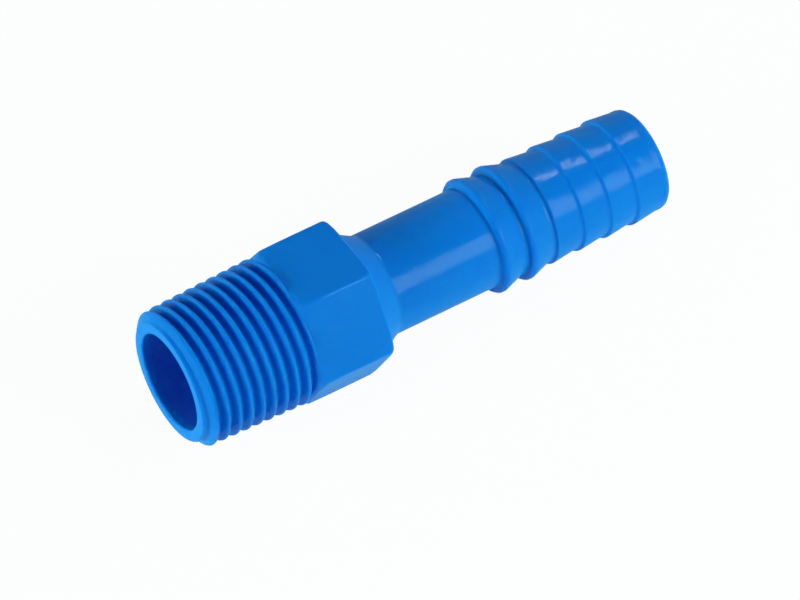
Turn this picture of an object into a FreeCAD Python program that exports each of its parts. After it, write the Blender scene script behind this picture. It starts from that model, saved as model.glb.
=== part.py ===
"""Hose barb adapter: a 1/2 inch male taper pipe thread to a 16 mm hose barb.

The adapter is one injection-moulded piece. Its flow axis is X: the threaded end face lies at
x = 0, the hose is pushed on from the far end, and two flats of the hexagon face up and down.
"""
import FreeCAD, Part
import os
import Sketcher

# Driving dimensions, in millimetres and degrees.
SIZES = [
    ("thread_pitch", 1.814, "14 threads to the inch"),
    ("thread_taper", 0.0625, "growth of the diameter along the thread, 1 in 16"),
    ("flank_angle", 27.5, "half of the 55 degree thread form"),
    ("thread_depth", 1.162, "from the crests down to the roots"),
    ("crest_flat", 0.302, "width of the crests"),
    ("flank_depth", 0.7, "straight part of the flanks, below the crests"),
    ("thread_phase", 1.34, "from the end face to the first crest, measured at the top"),
    ("thread_runout", 1.0, "how far the groove runs on inside the hexagon"),
    ("gauge_diameter", 20.955, "diameter over the crests at the gauge plane"),
    ("gauge_length", 8.2, "from the end face to the gauge plane"),
    ("thread_length", 17.3, "from the end face to the hexagon"),
    ("pilot_diameter", 17.7, "plain start in front of the first ridge"),
    ("pilot_length", 0.55, "length of the plain start"),
    ("pilot_chamfer", 0.25, "bevel round the end face"),
    ("lead_in_length", 0.65, "slope from the plain start up to the crests"),
    ("collar_length", 0.35, "last ridge of the thread, over the flats of the hexagon"),
    ("hex_across_flats", 20.7, "spanner size of the hexagon"),
    ("hex_width", 12.1, "length of the hexagon along the axis"),
    ("hex_corner_radius", 0.6, "rounding of the six long edges"),
    ("hex_near_bevel", 30.0, "bevel of the corners at the thread, from the end plane"),
    ("hex_far_bevel", 18.0, "bevel of the corners at the hose side, from the end plane"),
    ("boss_diameter", 18.8, "wide end of the conical boss"),
    ("boss_length", 3.4, "length of the conical boss"),
    ("boss_fillet", 1.6, "blend of the boss into the shank"),
    ("shank_diameter", 15.0, "plain shank"),
    ("shank_length", 16.65, "from the boss to the first ring"),
    ("barb_pitch", 4.5, "from ring to ring"),
    ("barb_root_diameter", 15.2, "between the rings"),
    ("lead_barb_count", 2, "large rings next to the shank"),
    ("lead_barb_diameter", 17.34, "over the large rings"),
    ("lead_barb_nose", 0.35, "bevel of the large rings' crests"),
    ("barb_count", 4, "rings after the large ones"),
    ("barb_diameter", 16.0, "over the other rings"),
    ("barb_nose", 0.2, "bevel of the other rings' crests"),
    ("tip_length", 1.05, "plain end after the last ring's pitch"),
    ("tip_bevel", 0.7, "bevel of the outer edge at the hose end"),
    ("thread_bore_diameter", 14.4, "bore of the threaded end"),
    ("thread_bore_length", 20.0, "depth of the wide bore"),
    ("throat_length", 4.0, "cone between the two bores"),
    ("hose_bore_diameter", 11.0, "bore of the hose end"),
    ("mouth_bevel", 0.3, "bevel of both mouths"),
    ("groove_overcut", 0.15, "how far the thread's cutter reaches over the crests"),
    ("overcut", 1.0, "how far the other cutting profiles reach past what they cut"),
]

# Stations along the axis, as expressions over the sheet.
HEX_START = "Sizes.thread_length"
HEX_END = f"({HEX_START} + Sizes.hex_width)"
BOSS_END = f"({HEX_END} + Sizes.boss_length)"
FIRST_LEAD_BARB = f"({BOSS_END} + Sizes.shank_length)"
FIRST_BARB = f"({FIRST_LEAD_BARB} + Sizes.lead_barb_count * Sizes.barb_pitch)"
HOSE_END = f"({FIRST_BARB} + Sizes.barb_count * Sizes.barb_pitch + Sizes.tip_length)"

# The groove starts at the bottom, one pitch in front of its first full turn. It ends inside the
# hexagon, in a blank that is longer by one pitch and is trimmed behind the last ridge.
GROOVE_START = "(Sizes.thread_phase - Sizes.thread_pitch)"
GROOVE_END = f"({HEX_START} + Sizes.thread_runout)"
BLANK_END = f"({GROOVE_END} + Sizes.thread_pitch)"

# Radii and slopes that several features share.
FLANK_SLOPE = "tan(Sizes.flank_angle * 1 deg)"
PILOT_RADIUS = "(Sizes.pilot_diameter / 2)"
HALF_FLATS = "(Sizes.hex_across_flats / 2)"
CUT_RADIUS = f"({HALF_FLATS} / cos(30 deg) + Sizes.overcut)"
BOSS_RADIUS = "(Sizes.boss_diameter / 2)"
SHANK_RADIUS = "(Sizes.shank_diameter / 2)"
ROOT_RADIUS = "(Sizes.barb_root_diameter / 2)"

# Largest difference between two places, or two unit directions, that count as the same.
TOLERANCE = 1e-4


def crest_radius(station):
    """Radius over the thread's crests at a station of the axis."""
    return f"((Sizes.gauge_diameter + ({station} - Sizes.gauge_length) * Sizes.thread_taper) / 2)"


def make_sheet(doc):
    """Spreadsheet of the driving dimensions, one row each: alias, value, meaning."""
    sheet = doc.addObject("Spreadsheet::Sheet", "Sizes")
    for row, (alias, value, meaning) in enumerate(SIZES, start=1):
        sheet.set(f"A{row}", alias)
        sheet.set(f"B{row}", str(value))
        sheet.set(f"C{row}", meaning)
        sheet.setAlias(f"B{row}", alias)
    doc.recompute()
    return sheet


def new_sketch(body, plane, name):
    """Empty sketch on one of the body's own origin planes."""
    sketch = body.newObject("Sketcher::SketchObject", name)
    support = [item for item in body.Origin.OriginFeatures if item.Role == plane][0]
    sketch.AttachmentSupport = (support, "")
    sketch.MapMode = "FlatFace"
    return sketch


def number(sketch, expression):
    """Present value of an expression, as a plain number."""
    value = sketch.evalExpression(expression)
    return float(getattr(value, "Value", value))


def bind_point(sketch, curve, end, across, along, name):
    """Place one end of a curve by two distances from the sketch's origin.

    A distance of zero puts it on the sketch's own axis, -1 for the level one and -2 for the other.
    """
    places = (("DistanceX", across, -2, "x"), ("DistanceY", along, -1, "y"))
    for kind, expression, axis, letter in places:
        if expression == "0":
            sketch.addConstraint(Sketcher.Constraint("PointOnObject", curve, end, axis))
            continue
        distance = Sketcher.Constraint(kind, -1, 1, curve, end, number(sketch, expression))
        index = sketch.addConstraint(distance)
        sketch.renameConstraint(index, f"{name}_{letter}")
        sketch.setExpression(f"Constraints.{name}_{letter}", expression)


def draw_outline(sketch, corners, name="corner"):
    """Closed outline of straight lines, each corner given as a pair of expressions."""
    points = [FreeCAD.Vector(number(sketch, x), number(sketch, y), 0) for x, y in corners]
    count = len(points)
    lines = [
        sketch.addGeometry(Part.LineSegment(points[i], points[(i + 1) % count]), False)
        for i in range(count)
    ]
    for i in range(count):
        following = lines[(i + 1) % count]
        sketch.addConstraint(Sketcher.Constraint("Coincident", lines[i], 2, following, 1))
    for i, (x, y) in enumerate(corners):
        bind_point(sketch, lines[i], 1, x, y, f"{name}{i + 1}")


def draw_hexagon(sketch):
    """Regular hexagon round the origin, two sides level, held by its width across flats."""
    radius = number(sketch, f"{HALF_FLATS} / cos(30 deg)")
    normal = FreeCAD.Vector(0, 0, 1)
    points = [
        FreeCAD.Rotation(normal, 60 * i).multVec(FreeCAD.Vector(radius, 0, 0))
        for i in range(6)
    ]
    sides = [
        sketch.addGeometry(Part.LineSegment(points[i], points[(i + 1) % 6]), False)
        for i in range(6)
    ]
    rim = sketch.addGeometry(Part.Circle(FreeCAD.Vector(), normal, radius), True)
    sketch.addConstraint(Sketcher.Constraint("Coincident", rim, 3, -1, 1))
    for i in range(6):
        sketch.addConstraint(Sketcher.Constraint("Coincident", sides[i], 2, sides[(i + 1) % 6], 1))
        sketch.addConstraint(Sketcher.Constraint("PointOnObject", sides[i], 1, rim))
    for i in range(1, 6):
        sketch.addConstraint(Sketcher.Constraint("Equal", sides[0], sides[i]))
    sketch.addConstraint(Sketcher.Constraint("Horizontal", sides[1]))
    width = number(sketch, "Sizes.hex_across_flats")
    flats = Sketcher.Constraint("DistanceY", sides[4], 1, sides[1], 1, width)
    sketch.renameConstraint(sketch.addConstraint(flats), "across_flats")
    sketch.setExpression("Constraints.across_flats", "Sizes.hex_across_flats")


def draw_barb(sketch, start, diameter, nose):
    """Section of one ring: square step, bevelled crest, slope down to the next ring's foot."""
    crest = f"({diameter} / 2)"
    foot = f"({ROOT_RADIUS} - Sizes.overcut)"
    heel = f"({start} + Sizes.barb_pitch)"
    draw_outline(sketch, [
        (start, foot),
        (start, f"({crest} - {nose})"),
        (f"({start} + {nose})", crest),
        (heel, ROOT_RADIUS),
        (heel, foot),
    ])


def revolve(body, kind, sketch, name):
    """Full turn of a sketch about the flow axis, added or cut away."""
    feature = body.newObject(f"PartDesign::{kind}", name)
    feature.Profile = sketch
    feature.ReferenceAxis = (sketch, ["H_Axis"])
    feature.Angle = 360
    body.Document.recompute()
    return feature


def repeat(body, feature, sketch, name, count):
    """Row of equal rings along the flow axis, one barb pitch apart."""
    pattern = body.newObject("PartDesign::LinearPattern", name)
    pattern.Originals = [feature]
    pattern.Direction = (sketch, ["H_Axis"])
    pattern.Mode = "Spacing"
    pattern.setExpression("Offset", "Sizes.barb_pitch")
    pattern.setExpression("Occurrences", count)
    body.Tip = pattern
    body.Document.recompute()


def make_hexagon(doc):
    """Body of the hexagon: a prism with rounded long edges and bevelled corners."""
    body = doc.addObject("PartDesign::Body", "Hexagon")
    outline = new_sketch(body, "YZ_Plane", "HexOutline")
    outline.setExpression("AttachmentOffset.Base.z", HEX_START)
    draw_hexagon(outline)
    prism = body.newObject("PartDesign::Pad", "HexPrism")
    prism.Profile = outline
    prism.setExpression("Length", "Sizes.hex_width")
    body.Document.recompute()
    long_edges = [
        f"Edge{index}"
        for index, edge in enumerate(prism.Shape.Edges, start=1)
        if edge.Curve.Direction.cross(FreeCAD.Vector(1, 0, 0)).Length < TOLERANCE
    ]
    rounding = body.newObject("PartDesign::Fillet", "HexEdges")
    rounding.Base = (prism, long_edges)
    rounding.setExpression("Radius", "Sizes.hex_corner_radius")
    body.Document.recompute()
    corners = new_sketch(body, "XZ_Plane", "CornerBevels")
    near_reach = f"(({CUT_RADIUS} - {HALF_FLATS}) * tan(Sizes.hex_near_bevel * 1 deg))"
    far_reach = f"(({CUT_RADIUS} - {HALF_FLATS}) * tan(Sizes.hex_far_bevel * 1 deg))"
    draw_outline(corners, [
        (f"({HEX_START} - Sizes.overcut)", HALF_FLATS),
        (HEX_START, HALF_FLATS),
        (f"({HEX_START} + {near_reach})", CUT_RADIUS),
        (f"({HEX_START} - Sizes.overcut)", CUT_RADIUS),
    ], "near")
    draw_outline(corners, [
        (f"({HEX_END} + Sizes.overcut)", HALF_FLATS),
        (f"({HEX_END} + Sizes.overcut)", CUT_RADIUS),
        (f"({HEX_END} - {far_reach})", CUT_RADIUS),
        (HEX_END, HALF_FLATS),
    ], "far")
    revolve(body, "Groove", corners, "HexBevels")
    return body


def make_core(body):
    """Turned outline of the rest: thread blank, boss, shank and the rings' root."""
    section = new_sketch(body, "XZ_Plane", "CoreSection")
    first_crest = "(Sizes.pilot_length + Sizes.lead_in_length)"
    draw_outline(section, [
        ("0", "0"),
        ("0", f"({PILOT_RADIUS} - Sizes.pilot_chamfer)"),
        ("Sizes.pilot_chamfer", PILOT_RADIUS),
        ("Sizes.pilot_length", PILOT_RADIUS),
        (first_crest, crest_radius(first_crest)),
        (BLANK_END, crest_radius(BLANK_END)),
        (BLANK_END, BOSS_RADIUS),
        (HEX_END, BOSS_RADIUS),
        (BOSS_END, SHANK_RADIUS),
        (FIRST_LEAD_BARB, SHANK_RADIUS),
        (FIRST_LEAD_BARB, ROOT_RADIUS),
        (f"({HOSE_END} - Sizes.tip_bevel)", ROOT_RADIUS),
        (HOSE_END, f"({ROOT_RADIUS} - Sizes.tip_bevel)"),
        (HOSE_END, "0"),
    ])
    revolve(body, "Revolution", section, "Core")


def make_thread(body):
    """Helical groove of the taper thread, from in front of the end face into the hexagon.

    Below the straight flanks the rounded root is drawn as a blunt V.
    """
    crest = crest_radius(GROOVE_START)
    half_mouth = "((Sizes.thread_pitch - Sizes.crest_flat) / 2)"
    half_cutter = f"({half_mouth} + Sizes.groove_overcut * {FLANK_SLOPE})"
    half_foot = f"({half_mouth} - Sizes.flank_depth * {FLANK_SLOPE})"
    top = f"(-{crest} - Sizes.groove_overcut)"
    foot = f"(-{crest} + Sizes.flank_depth)"
    section = new_sketch(body, "XZ_Plane", "GrooveSection")
    draw_outline(section, [
        (f"({GROOVE_START} - {half_foot})", foot),
        (GROOVE_START, f"(-{crest} + Sizes.thread_depth)"),
        (f"({GROOVE_START} + {half_foot})", foot),
        (f"({GROOVE_START} + {half_cutter})", top),
        (f"({GROOVE_START} - {half_cutter})", top),
    ])
    groove = body.newObject("PartDesign::SubtractiveHelix", "ThreadGroove")
    groove.Profile = section
    groove.ReferenceAxis = (section, ["H_Axis"])
    groove.Mode = "pitch-height-angle"
    groove.setExpression("Pitch", "Sizes.thread_pitch")
    groove.setExpression("Height", f"{GROOVE_END} - {GROOVE_START}")
    groove.setExpression("Angle", "atan(Sizes.thread_taper / 2)")
    body.Document.recompute()


def trim_thread(body):
    """Slope behind the last ridge; it cuts away the rest of the blank, down to the boss."""
    section = new_sketch(body, "XZ_Plane", "TrimSection")
    ridge_end = f"({HEX_START} + Sizes.collar_length)"
    crest = crest_radius(ridge_end)
    draw_outline(section, [
        (f"({ridge_end} - Sizes.overcut * {FLANK_SLOPE})", f"({crest} + Sizes.overcut)"),
        (f"({ridge_end} + ({crest} - {BOSS_RADIUS}) * {FLANK_SLOPE})", BOSS_RADIUS),
        (f"({BLANK_END} + Sizes.overcut)", BOSS_RADIUS),
        (f"({BLANK_END} + Sizes.overcut)", f"({crest} + Sizes.overcut)"),
    ])
    revolve(body, "Groove", section, "ThreadTrim")


def join(body, other, name):
    """Fuse another body into this one."""
    union = body.newObject("PartDesign::Boolean", name)
    union.Type = "Fuse"
    union.setObjects([other])
    body.Document.recompute()


def make_barbs(body):
    """Two large rings and four lesser ones, each row a pattern of one ring."""
    rows = (
        ("Lead", FIRST_LEAD_BARB, "Sizes.lead_barb_diameter", "Sizes.lead_barb_nose",
         "Sizes.lead_barb_count"),
        ("Plain", FIRST_BARB, "Sizes.barb_diameter", "Sizes.barb_nose", "Sizes.barb_count"),
    )
    for name, start, diameter, nose, count in rows:
        section = new_sketch(body, "XZ_Plane", f"{name}BarbSection")
        draw_barb(section, start, diameter, nose)
        ring = revolve(body, "Revolution", section, f"{name}Barb")
        repeat(body, ring, section, f"{name}Barbs", count)


def make_bore(body):
    """Passage: wide behind the thread, a cone under the hexagon, narrow in the hose end."""
    section = new_sketch(body, "XZ_Plane", "BoreSection")
    wide = "(Sizes.thread_bore_diameter / 2)"
    narrow = "(Sizes.hose_bore_diameter / 2)"
    near_mouth = f"({wide} + Sizes.mouth_bevel)"
    far_mouth = f"({narrow} + Sizes.mouth_bevel)"
    draw_outline(section, [
        ("(-Sizes.overcut)", "0"),
        ("(-Sizes.overcut)", near_mouth),
        ("0", near_mouth),
        ("Sizes.mouth_bevel", wide),
        ("Sizes.thread_bore_length", wide),
        ("(Sizes.thread_bore_length + Sizes.throat_length)", narrow),
        (f"({HOSE_END} - Sizes.mouth_bevel)", narrow),
        (HOSE_END, far_mouth),
        (f"({HOSE_END} + Sizes.overcut)", far_mouth),
        (f"({HOSE_END} + Sizes.overcut)", "0"),
    ])
    revolve(body, "Groove", section, "Bore")


def blend_boss(body):
    """Fillet in the corner where the boss meets the shank."""
    base = body.Tip
    x = number(base, BOSS_END)
    corner = []
    for index, edge in enumerate(base.Shape.Edges, start=1):
        middle = edge.BoundBox.Center
        if isinstance(edge.Curve, Part.Circle) and abs(middle.x - x) < TOLERANCE:
            corner.append(f"Edge{index}")
    fillet = body.newObject("PartDesign::Fillet", "BossBlend")
    fillet.Base = (base, corner)
    fillet.setExpression("Radius", "Sizes.boss_fillet")
    body.Document.recompute()


def check(doc):
    """Stop on any feature that failed, before anything is written."""
    for item in doc.Objects:
        for word in ("Invalid", "Error"):
            if word in item.State:
                raise RuntimeError(f"{item.Name}: {item.State}")
    if doc.ThreadGroove.Shape.Volume > doc.Core.Shape.Volume - TOLERANCE:
        raise RuntimeError("ThreadGroove: nothing was cut")
    for body in doc.findObjects("PartDesign::Body"):
        if body.Shape.isNull() or not body.Shape.isValid():
            raise RuntimeError(f"{body.Label}: no valid shape")
        if len(body.Shape.Solids) != 1:
            raise RuntimeError(f"{body.Label}: {len(body.Shape.Solids)} solids")


def main():
    doc = FreeCAD.newDocument("HoseBarbAdapter")
    make_sheet(doc)
    body = doc.addObject("PartDesign::Body", "AdapterBody")
    body.Label = "adapter_body"
    make_core(body)
    make_thread(body)
    trim_thread(body)
    join(body, make_hexagon(doc), "HexUnion")
    make_barbs(body)
    blend_boss(body)
    make_bore(body)
    doc.recompute()
    check(doc)
    os.makedirs("parts", exist_ok=True)
    body.Shape.exportStep(os.path.join("parts", f"{body.Label}.step"))
    print(f"{body.Label}: {body.Shape.Volume:.1f} cubic mm")


main()
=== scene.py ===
"""Looks of the hose barb adapter: its moulded surface, its plastic and a plain studio stage.

The flow axis is X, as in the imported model. Sizes in the property groups are in metres; the shape
functions work in millimetres, in cylindrical coordinates: station x along the axis, radius r from
it, and turn, the angle about it from +Y towards +Z.
"""

import bpy
import math
import numpy as np
from bpy.props import FloatProperty, FloatVectorProperty, IntProperty, PointerProperty
from mathutils import Matrix, Vector


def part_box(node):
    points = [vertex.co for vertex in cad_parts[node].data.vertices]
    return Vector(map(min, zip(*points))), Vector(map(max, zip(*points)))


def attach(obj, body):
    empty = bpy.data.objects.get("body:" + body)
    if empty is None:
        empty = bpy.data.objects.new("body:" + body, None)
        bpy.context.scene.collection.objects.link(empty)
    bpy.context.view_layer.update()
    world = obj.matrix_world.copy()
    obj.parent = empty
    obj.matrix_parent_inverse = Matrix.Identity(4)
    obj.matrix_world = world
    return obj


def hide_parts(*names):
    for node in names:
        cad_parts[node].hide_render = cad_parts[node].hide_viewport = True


bl_info = {
    "name": "Hose barb adapter",
    "version": (1, 0, 0),
    "blender": (4, 5, 0),
    "location": "View3D > Sidebar > Adapter",
    "description": "Builds the moulded surface of a hose barb adapter and its stage",
    "category": "Add Mesh",
}

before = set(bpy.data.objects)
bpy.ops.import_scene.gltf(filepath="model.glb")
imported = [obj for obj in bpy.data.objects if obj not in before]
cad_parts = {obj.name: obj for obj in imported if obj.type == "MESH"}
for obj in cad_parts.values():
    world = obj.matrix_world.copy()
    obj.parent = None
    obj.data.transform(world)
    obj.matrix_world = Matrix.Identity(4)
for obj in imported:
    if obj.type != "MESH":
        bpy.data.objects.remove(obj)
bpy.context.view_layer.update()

MM = 0.001
NODE = "adapter_body"
FLATS = 6
# The camera's place in metres, and the directions to its right and up
CAMERA_PLACE = (-0.3179, -0.57208, 0.74529)
CAMERA_RIGHT = Vector((0.84455, -0.53541, -0.00838))
CAMERA_UP = Vector((0.40337, 0.62583, 0.66757))


def srgb(text):
    """Linear colour of an sRGB hex value.

    c / 12.92 up to 0.04045, else ((c + 0.055) / 1.055) ** 2.4.
    """
    parts = [int(text[i:i + 2], 16) / 255 for i in (1, 3, 5)]
    return [c / 12.92 if c <= 0.04045 else ((c + 0.055) / 1.055) ** 2.4 for c in parts]


def length(name, value, description):
    """Property for a size, given in millimetres and kept in metres."""
    return FloatProperty(
        name=name, default=value * MM, min=0.0, precision=6, unit="LENGTH", subtype="DISTANCE",
        description=description,
    )


def angle(name, degrees, description):
    """Property for an angle, given in degrees and kept in radians."""
    return FloatProperty(
        name=name, default=math.radians(degrees), unit="ROTATION", subtype="ANGLE",
        description=description,
    )


def colour(name, text, description):
    """Property for a colour, given as an sRGB hex value."""
    return FloatVectorProperty(
        name=name, default=srgb(text), size=3, min=0.0, max=1.0, subtype="COLOR",
        description=description,
    )


class ThreadSizes(bpy.types.PropertyGroup):
    """Taper pipe thread with its rounded form."""

    pitch: length("Pitch", 1.814, "From crest to crest, 14 threads to the inch")
    gauge_diameter: length("Gauge diameter", 20.955, "Over the crests at the gauge plane")
    gauge_length: length("Gauge length", 8.2, "From the end face to the gauge plane")
    taper: FloatProperty(
        name="Taper", default=1 / 16, description="Growth of the diameter along the thread"
    )
    flank: angle("Flank angle", 27.5, "Half of the angle between two flanks")
    rounding: length("Rounding", 0.2485, "Radius of the crests and roots")
    phase: length("Phase", 1.2, "From the end face to the first crest, at the top")
    length: length("Length", 17.3, "From the end face to the hexagon")
    collar: length("Collar", 0.35, "Last ridge, where it stands over the hexagon's flats")
    pilot_diameter: length("Pilot diameter", 17.6, "Round the end face")
    face_rounding: length("Face rounding", 0.1, "Outer edge of the end face")
    lead_slope: FloatProperty(
        name="Lead slope", default=1.3, description="Rise of the first crests from the end face"
    )
    lead_blend: length("Lead blend", 0.3, "Blend of the lead slope into the crests")
    end_blend: length("End blend", 0.15, "Blend of the last ridge into the slope that ends it")
    fade_start: angle("Fade start", -88.0, "Turn at which the first ridge begins to rise")
    fade: angle("Fade", 50.0, "Turn over which the first ridge rises")
    steps: IntProperty(name="Steps", default=22, min=8, description="Stations in each pitch")


class HexagonSizes(bpy.types.PropertyGroup):
    """Spanner hexagon with bevelled corners."""

    across_flats: length("Across flats", 20.7, "Spanner size")
    width: length("Width", 12.1, "Along the axis")
    corner: length("Corner radius", 0.6, "Rounding of the six long edges")
    near_bevel: angle("Near bevel", 30.0, "Of the corners at the thread, from the end plane")
    far_bevel: angle("Far bevel", 38.0, "Of the corners at the hose side, from the end plane")
    far_rise: length("Far rise", 0.9, "Where the far bevel ends, over the flats")
    near_edge: length("Near edge", 0.12, "Rounding of the edge at the thread")
    far_edge: length("Far edge", 0.45, "Rounding of the edge at the hose side")
    near_blend: length("Near blend", 1.2, "Blend of the near bevel into the flats")
    far_blend: length("Far blend", 0.8, "Blend of the far bevel into the flats")
    thread_blend: length("Thread blend", 0.15, "Blend of the last ridge into the hexagon")
    columns: IntProperty(name="Columns", default=34, min=12, description="Faces round each flat")


class HoseSizes(bpy.types.PropertyGroup):
    """Boss, shank, rings and hose end."""

    boss_diameter: length("Boss diameter", 18.8, "Wide end of the boss")
    boss_length: length("Boss length", 3.4, "From the hexagon to the shank")
    boss_foot: length("Boss foot", 0.15, "Radius between the hexagon and the boss")
    boss_blend: length("Boss blend", 1.4, "Radius of the blend into the shank")
    shank_diameter: length("Shank diameter", 15.0, "Plain shank")
    shank_length: length("Shank length", 16.65, "From the boss to the first ring")
    ring_pitch: length("Ring pitch", 4.5, "From ring to ring")
    ring_slope: length("Ring slope", 3.8, "From a ring's crest to its foot")
    slope_foot: length("Slope foot", 1.0, "Radius in the foot of each ring's slope")
    ring_foot: length("Ring foot", 0.3, "Radius in the foot of each ring's step")
    root_diameter: length("Root diameter", 15.2, "Between the rings")
    lead_diameter: length("Large ring diameter", 17.34, "Over the rings next to the shank")
    lead_rounding: length("Large ring rounding", 0.6, "Radius of the large rings' crests")
    lead_count: IntProperty(name="Large rings", default=2, min=1, description="Next to the shank")
    ring_diameter: length("Ring diameter", 16.0, "Over the other rings")
    ring_rounding: length("Ring rounding", 0.27, "Radius of the other rings' crests")
    ring_lean: length("Ring lean", 0.25, "How far the other rings' steps lean")
    ring_count: IntProperty(name="Other rings", default=4, min=1, description="After the large")
    tip_length: length("Tip length", 1.05, "Plain end after the last ring's pitch")
    tip_rounding: length("Tip rounding", 0.9, "Outer edge of the hose end")


class PassageSizes(bpy.types.PropertyGroup):
    """Passage through the adapter."""

    wide_diameter: length("Wide bore", 14.4, "Bore of the threaded end")
    wide_length: length("Wide length", 20.0, "Depth of the wide bore")
    throat_length: length("Throat", 4.0, "Cone between the two bores")
    throat_blend: length("Throat blend", 0.5, "Radius at both ends of the cone")
    narrow_diameter: length("Narrow bore", 11.0, "Bore of the hose end")
    mouth_rounding: length("Mouth rounding", 0.3, "Edge of both mouths")


class PlasticFinish(bpy.types.PropertyGroup):
    """Semi-gloss blue plastic."""

    blue: colour("Blue", "#0883E6", "Colour of the plastic")
    deep_blue: colour("Deep blue", "#087EE1", "Where the pigment is a little denser")
    # Painted shade: the passage's wall is given a deeper blue than the plastic outside
    passage_painted_shade: colour("Passage blue", "#2462DE", "Of the wall inside the passage")
    roughness: FloatProperty(
        name="Roughness", default=0.13, min=0.0, max=1.0, subtype="FACTOR",
        description="Of the clear skin",
    )
    unevenness: FloatProperty(
        name="Unevenness", default=0.06, min=0.0, max=1.0, subtype="FACTOR",
        description="How far the roughness goes up and down",
    )
    cloud_size: length("Cloud size", 9.0, "Width of the clouds of denser pigment")
    wave_size: length("Wave size", 2.0, "Width of the waves in the skin")
    wave_depth: length("Wave depth", 0.1, "Depth of the waves")
    grain_size: length("Grain size", 0.3, "Width of the mould's grain")
    grain_depth: length("Grain depth", 0.01, "Depth of the grain")


class StageSettings(bpy.types.PropertyGroup):
    """Floor, lamps and camera."""

    floor_colour: colour("Floor", "#FAF9F9", "Colour of the floor")
    floor_size: length("Floor size", 6000.0, "Side of the floor")
    floor_glow: FloatProperty(
        name="Floor glow", default=0.96, min=0.0, max=1.0, subtype="FACTOR",
        description="Share of pure white in the floor as the camera sees it",
    )
    lamp_colour: colour("Lamps", "#D0FFF2", "Cool white of the front, low and side lamps")
    top_colour: colour("Top lamp", "#D0E8FF", "Cool white of the top lamp")
    sky_level: FloatProperty(name="Sky", default=0.05, description="Level of the even light")
    front_level: FloatProperty(name="Front", default=0.76, description="Level of the front lamp")
    low_level: FloatProperty(name="Low", default=0.73, description="Level of the low lamp")
    side_level: FloatProperty(name="Side", default=0.25, description="Level of the side lamp")
    top_level: FloatProperty(name="Top", default=0.28, description="Level of the top lamp")
    lens: FloatProperty(
        name="Lens", default=326.7, unit="CAMERA", description="Focal length of the camera"
    )


class AdapterSettings(bpy.types.PropertyGroup):
    """All sizes and finishes of the adapter and its stage."""

    thread: PointerProperty(type=ThreadSizes)
    hexagon: PointerProperty(type=HexagonSizes)
    hose: PointerProperty(type=HoseSizes)
    passage: PointerProperty(type=PassageSizes)
    plastic: PointerProperty(type=PlasticFinish)
    stage: PointerProperty(type=StageSettings)


def soft_min(a, b, blend):
    """Lesser of two arrays, with the corner between them rounded.

    min(a, b) - blend / 4 * max(0, 1 - |a - b| / blend) squared.
    """
    near = np.maximum(0.0, 1.0 - np.abs(a - b) / blend)
    return np.minimum(a, b) - blend / 4 * near**2


def soft_max(a, b, blend):
    """Greater of two arrays, rounded in the same way."""
    return -soft_min(-a, -b, blend)


def thread_radius(thread, x, turn):
    """Radius of the thread at stations x and turns, in millimetres.

    The ridge's middle lies at phase + pitch * (k + turn from the top / full turn). From the crest
    cone the surface falls with the distance w from that middle: first along an arc of the crest's
    rounding, R - sqrt(R^2 - w^2), then along the flank with slope 1 / tan(flank), and last along
    the same arc of the root. The first ridge rises over part of a turn, a cone from the end face
    limits the first crests, and a slope ends the last ridge behind the collar. The rise goes as
    3 t^2 - 2 t^3, with t from 0 to 1.
    """
    pitch, rounding = thread.pitch / MM, thread.rounding / MM
    slope = 1 / math.tan(thread.flank)
    crest = (thread.gauge_diameter / MM + (x - thread.gauge_length / MM) * thread.taper) / 2
    ridge = (x - thread.phase / MM) / pitch - (turn - math.pi / 2) / (2 * math.pi)
    number = np.round(ridge)
    w = np.abs(ridge - number) * pitch
    reach = rounding * math.cos(thread.flank)
    sink = rounding * (1 - math.sin(thread.flank))
    straight = pitch / 2 - 2 * reach
    depth = 2 * sink + straight * slope
    crest_arc = rounding - np.sqrt(rounding**2 - np.minimum(w, reach)**2)
    flank = np.clip(w - reach, 0.0, straight) * slope
    left = np.minimum(pitch / 2 - w, reach)
    root_arc = np.where(w > pitch / 2 - reach, sink - rounding + np.sqrt(rounding**2 - left**2), 0)
    fall = crest_arc + flank + root_arc
    turned = 2 * math.pi * number + turn
    t = np.clip((turned - thread.fade_start) / thread.fade, 0.0, 1.0)
    rise = t**2 * (3 - 2 * t)
    radius = crest - depth + (depth - fall) * rise
    lead = thread.pilot_diameter / MM / 2 + thread.lead_slope * x
    radius = soft_min(radius, lead, thread.lead_blend / MM)
    end = (thread.length + thread.collar) / MM
    return soft_min(radius, crest - (x - end) * slope, thread.end_blend / MM)


def hexagon_radius(hexagon, start, x, turn):
    """Radius of the hexagon at stations x and turns, in millimetres.

    Flats: half the width across flats / cos(turn from the flat's middle). Corners: the far side
    of a circle of the corner radius. Two cones bevel the corners, half the width across flats +
    distance from the end plane / tan(bevel), the far one with its rise added, and both end edges
    fall off along a quarter circle.
    """
    apothem, corner = hexagon.across_flats / MM / 2, hexagon.corner / MM
    sector = 2 * math.pi / FLATS
    from_flat = np.mod(turn, sector) - sector / 2
    from_corner = sector / 2 - np.abs(from_flat)
    centre = (apothem - corner) / math.cos(sector / 2)
    under = np.maximum(corner**2 - (centre * np.sin(from_corner))**2, 0.0)
    arc = centre * np.cos(from_corner) + np.sqrt(under)
    limit = math.atan2(corner * math.sin(sector / 2), centre + corner * math.cos(sector / 2))
    radius = np.where(from_corner < limit, arc, apothem / np.cos(from_flat))
    end = start + hexagon.width / MM
    near = apothem + (x - start) / math.tan(hexagon.near_bevel)
    far = apothem + hexagon.far_rise / MM + (end - x) / math.tan(hexagon.far_bevel)
    radius = soft_min(radius, near, hexagon.near_blend / MM)
    radius = soft_min(radius, far, hexagon.far_blend / MM)
    near_drop = edge_drop(x - start, hexagon.near_edge / MM)
    far_drop = edge_drop(end - x, hexagon.far_edge / MM)
    return radius - near_drop - far_drop


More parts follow.
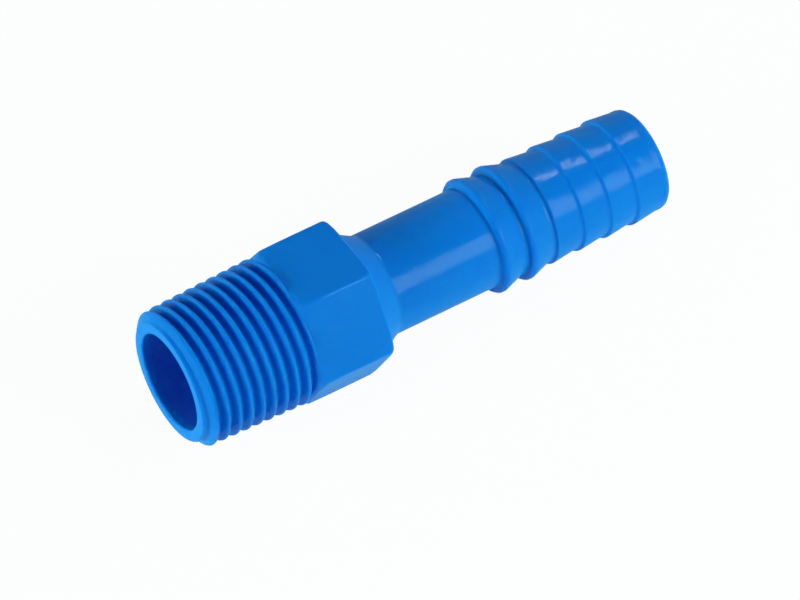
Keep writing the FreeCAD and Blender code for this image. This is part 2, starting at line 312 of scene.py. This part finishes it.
def edge_drop(inside, rounding):
    """Fall of a rounded edge at a distance inside its plane: R - sqrt(R^2 - (R - distance)^2)."""
    into = np.clip(rounding - inside, 0.0, rounding)
    return rounding - np.sqrt(rounding**2 - into**2)


def rounded_profile(corners, samples=4, guard=0.05):
    """Profile of straight runs with an arc in each corner.

    Corners are rows (x, r, radius). The arc touches both runs at radius * tan(half the turn) from
    the corner; its points are centre + radius * (cos, sin) of angles spread evenly over the turn.
    One more point on each run, a guard's length or a quarter of the run from the arc, whichever is
    less, keeps the runs straight when shaded. The first and last corner only point the outer runs.
    """
    rows = np.array(corners, float)
    place, radius = rows[1:-1, :2], rows[1:-1, 2:]
    runs = np.diff(rows[:, :2], axis=0)
    reach = np.linalg.norm(runs, axis=1, keepdims=True)
    along = runs / reach
    before, after = along[:-1], along[1:]
    cross = before[:, :1] * after[:, 1:] - before[:, 1:] * after[:, :1]
    turn = np.arctan2(cross, np.sum(before * after, axis=1, keepdims=True))
    touch = radius * np.tan(np.abs(turn) / 2)
    side = np.sign(cross) * np.stack([-before[:, 1], before[:, 0]], axis=1)
    centre = place - before * touch + side * radius
    swing = turn * np.linspace(0, 1, samples)
    first = -side
    across = np.stack([-first[:, 1], first[:, 0]], axis=1)
    arc = (
        centre[:, None] + radius[:, None] * (
            first[:, None] * np.cos(swing)[..., None] + across[:, None] * np.sin(swing)[..., None]
        )
    )
    away = np.minimum(guard, reach / 4)
    lead = place - before * (touch + away[:-1])
    trail = place + after * (touch + away[1:])
    return np.concatenate([lead[:, None], arc, trail[:, None]], axis=1).reshape(-1, 2)


def ring_corners(hose, start, crest, rounding, lean):
    """Corners of one ring: foot and crest of its step, and the foot of its slope.

    The crest's corner stands over its rounded top by rounding * (tan(turn / 2) * sin(s) + cos(s)
    - 1), with s the angle of the slope and turn the angle of the step + s.
    """
    root, slope = hose.root_diameter / MM / 2, hose.ring_slope / MM
    s = math.atan2(crest - root, slope)
    step = math.atan2(crest - root, lean)
    lift = rounding * (math.tan((step + s) / 2) * math.sin(s) + math.cos(s) - 1)
    return [
        (start - lean, root, hose.ring_foot / MM),
        (start, crest + lift, rounding),
        (start + slope, root, hose.slope_foot / MM),
    ]


def turned_corners(sizes):
    """Corners of all that is round: boss, shank, rings, hose end, passage and end face.

    The first lies on the hexagon's far plane and the last on the thread's lead slope.
    """
    hose, passage, thread = sizes.hose, sizes.passage, sizes.thread
    hexagon_end = (thread.length + sizes.hexagon.width) / MM
    boss_end = hexagon_end + hose.boss_length / MM
    first_ring = boss_end + hose.shank_length / MM
    pitch, boss = hose.ring_pitch / MM, hose.boss_diameter / MM / 2
    shank, root = hose.shank_diameter / MM / 2, hose.root_diameter / MM / 2
    wide, narrow = passage.wide_diameter / MM / 2, passage.narrow_diameter / MM / 2
    mouth, throat = passage.mouth_rounding / MM, passage.throat_blend / MM
    throat_start = passage.wide_length / MM
    throat_end = throat_start + passage.throat_length / MM
    pilot = thread.pilot_diameter / MM / 2
    large = (hose.lead_diameter / MM / 2, hose.lead_rounding / MM, 0.0)
    lesser = (hose.ring_diameter / MM / 2, hose.ring_rounding / MM, hose.ring_lean / MM)
    rings = [large] * hose.lead_count + [lesser] * hose.ring_count
    hose_end = first_ring + len(rings) * pitch + hose.tip_length / MM
    edge = sizes.hexagon.across_flats / MM / 2 - sizes.hexagon.far_edge / MM
    ringed = []
    for index, ring in enumerate(rings):
        ringed += ring_corners(hose, first_ring + index * pitch, *ring)
    # The first ring's step rises from the shank and not from the root
    ringed[0] = (first_ring, shank, hose.ring_foot / MM)
    return [
        (hexagon_end, edge, 0.0),
        (hexagon_end, boss, hose.boss_foot / MM),
        (boss_end, shank, hose.boss_blend / MM),
        *ringed,
        (hose_end, root, hose.tip_rounding / MM),
        (hose_end, narrow, mouth),
        (throat_end, narrow, throat),
        (throat_start, wide, throat),
        (0.0, wide, mouth),
        (0.0, pilot, thread.face_rounding / MM),
        (1.0, pilot + thread.lead_slope, 0.0),
    ]


def outside_stations(sizes):
    """Stations along the thread and the hexagon, in millimetres.

    Each rounded edge of the hexagon has a few, the stretch of each bevel has many, and the flats
    between them, which begin a little further in, need only some.
    """
    first, near_stretch, far_stretch, near_flat, far_flat = 0.2, 1.0, 1.3, 1.25, 1.9
    edge_count, bevel_count, flat_count = 4, 12, 4
    thread, hexagon = sizes.thread, sizes.hexagon
    start, end = thread.length / MM, (thread.length + hexagon.width) / MM
    step = thread.pitch / MM / thread.steps
    near, far = hexagon.near_edge / MM, hexagon.far_edge / MM
    quarter = np.linspace(0, math.pi / 2, edge_count)
    threaded = np.linspace(first, start, int(start / step))
    beyond = [
        start + near * (1 - np.cos(quarter)),
        np.linspace(start + near, start + near_stretch, bevel_count)[1:],
        np.linspace(start + near_flat, end - far_flat, flat_count),
        np.linspace(end - far_stretch, end - far, bevel_count)[:-1],
        end - far + far * np.sin(quarter),
    ]
    return threaded, np.concatenate(beyond)


def column_turns(hexagon):
    """Turns of the columns, closer together at the hexagon's corners.

    Within each sixth of a turn they lie at half a sector * (1 + t + pull * sin(pi * t) / pi), t
    from -1 to 1.
    """
    pull = 0.75
    sector = 2 * math.pi / FLATS
    t = np.linspace(-1, 1, hexagon.columns, endpoint=False)
    within = sector / 2 * (1 + t + pull * np.sin(math.pi * t) / math.pi)
    return (sector * np.arange(FLATS)[:, None] + within).ravel()


def moulding_grid(sizes):
    """Points of the whole surface, one row for each station of its closed section.

    First come the rows of the thread, then those of the hexagon, joined to the last ridge by the
    greater radius, and last the turned profile, through the passage and back to the end face.
    """
    turn = column_turns(sizes.hexagon)[None, :]
    threaded, beyond = outside_stations(sizes)
    start = sizes.thread.length / MM
    front = thread_radius(sizes.thread, threaded[:, None], turn)
    ridge = thread_radius(sizes.thread, beyond[:, None], turn)
    hexagon = hexagon_radius(sizes.hexagon, start, beyond[:, None], turn)
    middle = soft_max(ridge, hexagon, sizes.hexagon.thread_blend / MM)
    turned = rounded_profile(turned_corners(sizes))
    stations = np.concatenate([threaded, beyond, turned[:, 0]])
    x = np.repeat(stations[:, None], turn.size, axis=1)
    r = np.concatenate([front, middle, np.repeat(turned[:, 1:], turn.size, axis=1)])
    return np.stack([x, r * np.cos(turn), r * np.sin(turn)], axis=-1) * MM


def closed_grid_mesh(name, grid):
    """Mesh of four-sided faces over a grid that is closed both ways, its rows and its columns."""
    rows, columns = grid.shape[:2]
    row = np.arange(rows)[:, None]
    column = np.arange(columns)[None, :]
    next_row, next_column = (row + 1) % rows, (column + 1) % columns
    quads = np.stack([
        row * columns + column,
        row * columns + next_column,
        next_row * columns + next_column,
        next_row * columns + column,
    ], axis=-1).reshape(-1, 4)
    mesh = bpy.data.meshes.new(name)
    mesh.vertices.add(rows * columns)
    mesh.vertices.foreach_set("co", grid.reshape(-1).astype(np.float32))
    mesh.loops.add(quads.size)
    mesh.loops.foreach_set("vertex_index", quads.reshape(-1).astype(np.int32))
    mesh.polygons.add(len(quads))
    mesh.polygons.foreach_set("loop_start", np.arange(0, quads.size, 4, dtype=np.int32))
    mesh.polygons.foreach_set("use_smooth", np.ones(len(quads), bool))
    mesh.update(calc_edges=True)
    mesh.validate()
    return mesh


def add_node(tree, kind, links=(), **settings):
    """Add a shader node: settings go to its sockets by name, or to the node itself.

    Links are pairs of (socket name, output) that feed it.
    """
    node = tree.nodes.new(kind)
    for key, value in settings.items():
        name = key.replace("_", " ")
        socket = next((s for s in node.inputs if s.name.lower() == name and s.enabled), None)
        if socket is None:
            setattr(node, key, value)
        else:
            socket.default_value = value
    for name, output in links:
        tree.links.new(output, node.inputs[name])
    return node


def new_material(name):
    """Empty material with its node tree and output."""
    material = bpy.data.materials.new(name)
    material.use_nodes = True
    tree = material.node_tree
    tree.nodes.clear()
    return material, tree, tree.nodes.new("ShaderNodeOutputMaterial")


def noise(tree, place, size, detail):
    """Noise from 0 to 1, with patches of about a size in metres."""
    node = add_node(
        tree, "ShaderNodeTexNoise", [("Vector", place)], scale=1 / size, detail=detail
    )
    return node.outputs["Fac"]


def passage_shade_mask(tree, place, passage, hose_end):
    """1 on the passage's wall, where its deeper blue is painted shade, else 0, with a soft change
    over the first stretch of each mouth.

    The distance from the axis, the length of (0, y, z), tells the wall from the outer surfaces,
    and x tells it from both end faces.
    """
    skin, clear = 0.05 * MM, 0.25 * MM
    face_margin, tip_margin, stretch = 0.2 * MM, 0.3 * MM, 1.5 * MM
    across = add_node(tree, "ShaderNodeVectorMath", operation="MULTIPLY")
    tree.links.new(place, across.inputs[0])
    across.inputs[1].default_value = (0, 1, 1)
    distance = add_node(tree, "ShaderNodeVectorMath", operation="LENGTH")
    tree.links.new(across.outputs["Vector"], distance.inputs[0])
    along = add_node(tree, "ShaderNodeSeparateXYZ", [("Vector", place)]).outputs["X"]
    wall = passage.wide_diameter / 2
    near_axis = add_node(
        tree, "ShaderNodeMapRange", [("Value", distance.outputs["Value"])],
        from_min=wall + skin, from_max=wall + clear, to_min=1.0, to_max=0.0,
    )
    behind_face = add_node(
        tree, "ShaderNodeMapRange", [("Value", along), ("To Max", near_axis.outputs["Result"])],
        from_min=face_margin, from_max=stretch, to_min=0.0,
    )
    before_end = add_node(
        tree, "ShaderNodeMapRange", [("Value", along), ("To Min", behind_face.outputs["Result"])],
        from_min=hose_end - stretch, from_max=hose_end - tip_margin, to_max=0.0,
    )
    return before_end.outputs["Result"]


def moulded_polypropylene(finish, passage, hose_end):
    """Injection-moulded polypropylene, coloured through.

    It gives the eye an even, saturated blue with a soft, slightly milky sheen under a thin clear
    skin that mirrors the lamps weakly. The mould's fine grain and shallow waves in the skin make
    the highlights a little uneven. The passage's wall is painted a deeper blue, as painted shade
    for the light that meets it more than once.
    """
    material, tree, output = new_material("moulded_polypropylene_blue")
    place = add_node(tree, "ShaderNodeTexCoord").outputs["Object"]
    cloud = noise(tree, place, finish.cloud_size, 3.0)
    grain = noise(tree, place, finish.grain_size, 2.0)
    wave = noise(tree, place, finish.wave_size, 1.0)
    tint = add_node(tree, "ShaderNodeMix", data_type="RGBA")
    tree.links.new(cloud, tint.inputs["Factor"])
    tint.inputs["A"].default_value = (*finish.blue, 1)
    tint.inputs["B"].default_value = (*finish.deep_blue, 1)
    # Painted shade: through the mask, the passage's wall takes its deeper blue
    shade = add_node(tree, "ShaderNodeMix", data_type="RGBA")
    tree.links.new(passage_shade_mask(tree, place, passage, hose_end), shade.inputs["Factor"])
    tree.links.new(tint.outputs["Result"], shade.inputs["A"])
    shade.inputs["B"].default_value = (*finish.passage_painted_shade, 1)
    gloss = add_node(
        tree, "ShaderNodeMapRange", [("Value", wave)],
        to_min=finish.roughness - finish.unevenness, to_max=finish.roughness + finish.unevenness,
    )
    waves = add_node(
        tree, "ShaderNodeBump", [("Height", wave)], strength=1.0, distance=finish.wave_depth
    )
    skin = add_node(
        tree, "ShaderNodeBump", [("Height", grain), ("Normal", waves.outputs["Normal"])],
        strength=0.35, distance=finish.grain_depth,
    )
    shader = add_node(
        tree, "ShaderNodeBsdfPrincipled",
        [
            ("Base Color", shade.outputs["Result"]),
            ("Coat Roughness", gloss.outputs["Result"]),
            ("Normal", skin.outputs["Normal"]),
            ("Coat Normal", skin.outputs["Normal"]),
        ],
        roughness=0.5, ior=1.49, specular_ior_level=0.0, coat_weight=0.15, coat_ior=1.5,
        subsurface_weight=0.8, subsurface_scale=0.8 * MM,
    )
    shader.inputs["Subsurface Radius"].default_value = (0.2, 0.5, 1.0)
    tree.links.new(shader.outputs["BSDF"], output.inputs["Surface"])
    return material


def seen_directly(tree):
    """1 for what the camera, a reflection or a look through the surface sees, else 0."""
    path = add_node(tree, "ShaderNodeLightPath")
    mirrored = add_node(tree, "ShaderNodeMath", operation="MAXIMUM")
    tree.links.new(path.outputs["Is Glossy Ray"], mirrored.inputs[0])
    tree.links.new(path.outputs["Is Transmission Ray"], mirrored.inputs[1])
    seen = add_node(tree, "ShaderNodeMath", operation="MAXIMUM")
    tree.links.new(path.outputs["Is Camera Ray"], seen.inputs[0])
    tree.links.new(mirrored.outputs[0], seen.inputs[1])
    return seen.outputs[0]


def studio_paper(tone, glow):
    """Matt white background paper. To the eye it is nearly pure white, with a faint shadow."""
    material, tree, output = new_material("studio_paper_white")
    paper = add_node(tree, "ShaderNodeBsdfDiffuse", color=(*tone, 1))
    white = add_node(tree, "ShaderNodeEmission", color=(1, 1, 1, 1), strength=1.0)
    share = add_node(tree, "ShaderNodeMath", operation="MULTIPLY")
    tree.links.new(seen_directly(tree), share.inputs[0])
    share.inputs[1].default_value = glow
    mix = add_node(tree, "ShaderNodeMixShader")
    tree.links.new(share.outputs[0], mix.inputs["Fac"])
    tree.links.new(paper.outputs["BSDF"], mix.inputs[1])
    tree.links.new(white.outputs["Emission"], mix.inputs[2])
    tree.links.new(mix.outputs["Shader"], output.inputs["Surface"])
    return material


def light_sky(level):
    """Even white light of the given level, seen directly as white walls and a grey ceiling.

    With the height as the z of a direction, from -1 to 1, the white turns grey from 0.25 up to 0.8.
    """
    world = bpy.data.worlds.new("studio_sky")
    world.use_nodes = True
    tree = world.node_tree
    tree.nodes.clear()
    output = tree.nodes.new("ShaderNodeOutputWorld")
    direction = add_node(tree, "ShaderNodeTexCoord").outputs["Generated"]
    height = add_node(tree, "ShaderNodeSeparateXYZ", [("Vector", direction)])
    ceiling = add_node(
        tree, "ShaderNodeMapRange", [("Value", height.outputs["Z"])],
        from_min=0.25, from_max=0.8, to_min=1.0, to_max=0.4,
    )
    strength = add_node(
        tree, "ShaderNodeMapRange",
        [("Value", seen_directly(tree)), ("To Max", ceiling.outputs["Result"])], to_min=level,
    )
    sky = add_node(
        tree, "ShaderNodeBackground", [("Strength", strength.outputs["Result"])],
        color=(1, 1, 1, 1),
    )
    tree.links.new(sky.outputs["Background"], output.inputs["Surface"])
    bpy.context.scene.world = world


def add_lamp(target, name, away, size, level, tint, mirrored):
    """Lamp of a width and height, at a distance from the target that it is aimed at.

    Its power is level * pi * pi * distance squared, so that at level 1 a surface that faces it
    sends back its own colour's share of full white. A lamp that isn't mirrored leaves no
    highlight.
    """
    lamp = bpy.data.lights.new(name, "AREA")
    lamp.shape = "RECTANGLE"
    lamp.size, lamp.size_y = size
    away = Vector(away)
    lamp.energy = level * math.pi**2 * away.length_squared
    lamp.color = tint
    item = bpy.data.objects.new(name, lamp)
    item.location = Vector(target) + away
    item.rotation_euler = away.to_track_quat("Z", "Y").to_euler()
    item.visible_glossy = mirrored
    bpy.context.collection.objects.link(item)


def add_lamps(settings, target):
    """Four lamps, each with its place from the target, width and height, level and tint.

    The last value says whether it is mirrored in the plastic.
    """
    tint, top_tint = settings.lamp_colour, settings.top_colour
    lamps = (
        ("front_lamp", (0.16, -0.265, 0.165), (0.18, 0.18), settings.front_level, tint, True),
        ("low_lamp", (-0.97, -0.04, 0.21), (0.55, 0.20), settings.low_level, tint, False),
        ("side_lamp", (-0.80, 0.55, 0.16), (0.60, 0.30), settings.side_level, tint, False),
        ("top_lamp", (0.54, 0.26, 0.80), (0.28, 0.12), settings.top_level, top_tint, True),
    )
    for lamp in lamps:
        add_lamp(target, *lamp)


def add_floor(settings, level):
    """Square of background paper at a height, as a part of the stage."""
    corners = np.array([(-1, -1, 0), (1, -1, 0), (1, 1, 0), (-1, 1, 0)]) * settings.floor_size / 2
    corners[:, 2] = level
    mesh = bpy.data.meshes.new("floor")
    mesh.from_pydata(corners.tolist(), [], [(0, 1, 2, 3)])
    mesh.materials.append(studio_paper(settings.floor_colour, settings.floor_glow))
    floor = bpy.data.objects.new("floor", mesh)
    bpy.context.collection.objects.link(floor)


def add_camera(lens):
    """Camera at its place, turned by the directions to its right and up."""
    data = bpy.data.cameras.new("camera")
    data.lens = lens
    camera = bpy.data.objects.new("camera", data)
    back = CAMERA_RIGHT.cross(CAMERA_UP)
    turned = Matrix((CAMERA_RIGHT, CAMERA_UP, back)).transposed().to_4x4()
    camera.matrix_world = Matrix.Translation(CAMERA_PLACE) @ turned
    bpy.context.collection.objects.link(camera)
    bpy.context.scene.camera = camera


class BuildMoulding(bpy.types.Operator):
    """Build the adapter's moulded surface"""

    bl_idname = "adapter.build_moulding"
    bl_label = "Build moulding"

    def execute(self, context):
        sizes = context.scene.adapter
        mesh = closed_grid_mesh("adapter_moulding", moulding_grid(sizes))
        hose_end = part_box(NODE)[1].x
        mesh.materials.append(moulded_polypropylene(sizes.plastic, sizes.passage, hose_end))
        piece = bpy.data.objects.new("adapter_moulding", mesh)
        context.collection.objects.link(piece)
        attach(piece, "root")
        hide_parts(NODE)
        return {"FINISHED"}


class BuildStage(bpy.types.Operator):
    """Build the floor, lamps and camera"""

    bl_idname = "adapter.build_stage"
    bl_label = "Build stage"

    def execute(self, context):
        settings = context.scene.adapter.stage
        low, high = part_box(NODE)
        add_floor(settings, low.z)
        light_sky(settings.sky_level)
        add_lamps(settings, (low + high) / 2)
        add_camera(settings.lens)
        context.scene.view_settings.view_transform = "Standard"
        return {"FINISHED"}


class AdapterPanel(bpy.types.Panel):
    """Lists the operators and the sizes they use"""

    bl_idname = "VIEW3D_PT_adapter"
    bl_label = "Hose barb adapter"
    bl_space_type = "VIEW_3D"
    bl_region_type = "UI"
    bl_category = "Adapter"

    def draw(self, context):
        layout = self.layout
        settings = context.scene.adapter
        for name in AdapterSettings.__annotations__:
            box = layout.box()
            box.label(text=name.capitalize())
            group = getattr(settings, name)
            for field in type(group).__annotations__:
                box.prop(group, field)
        for operator in OPERATORS:
            layout.operator(operator.bl_idname)


GROUPS = (
    ThreadSizes, HexagonSizes, HoseSizes, PassageSizes, PlasticFinish, StageSettings,
    AdapterSettings,
)
OPERATORS = (BuildMoulding, BuildStage)
CLASSES = (*GROUPS, *OPERATORS, AdapterPanel)


def register():
    for item in CLASSES:
        bpy.utils.register_class(item)
    bpy.types.Scene.adapter = PointerProperty(type=AdapterSettings)


def unregister():
    del bpy.types.Scene.adapter
    for item in reversed(CLASSES):
        bpy.utils.unregister_class(item)


def main():
    register()
    bpy.ops.adapter.build_moulding()
    bpy.ops.adapter.build_stage()


if __name__ == "__main__":
    main()
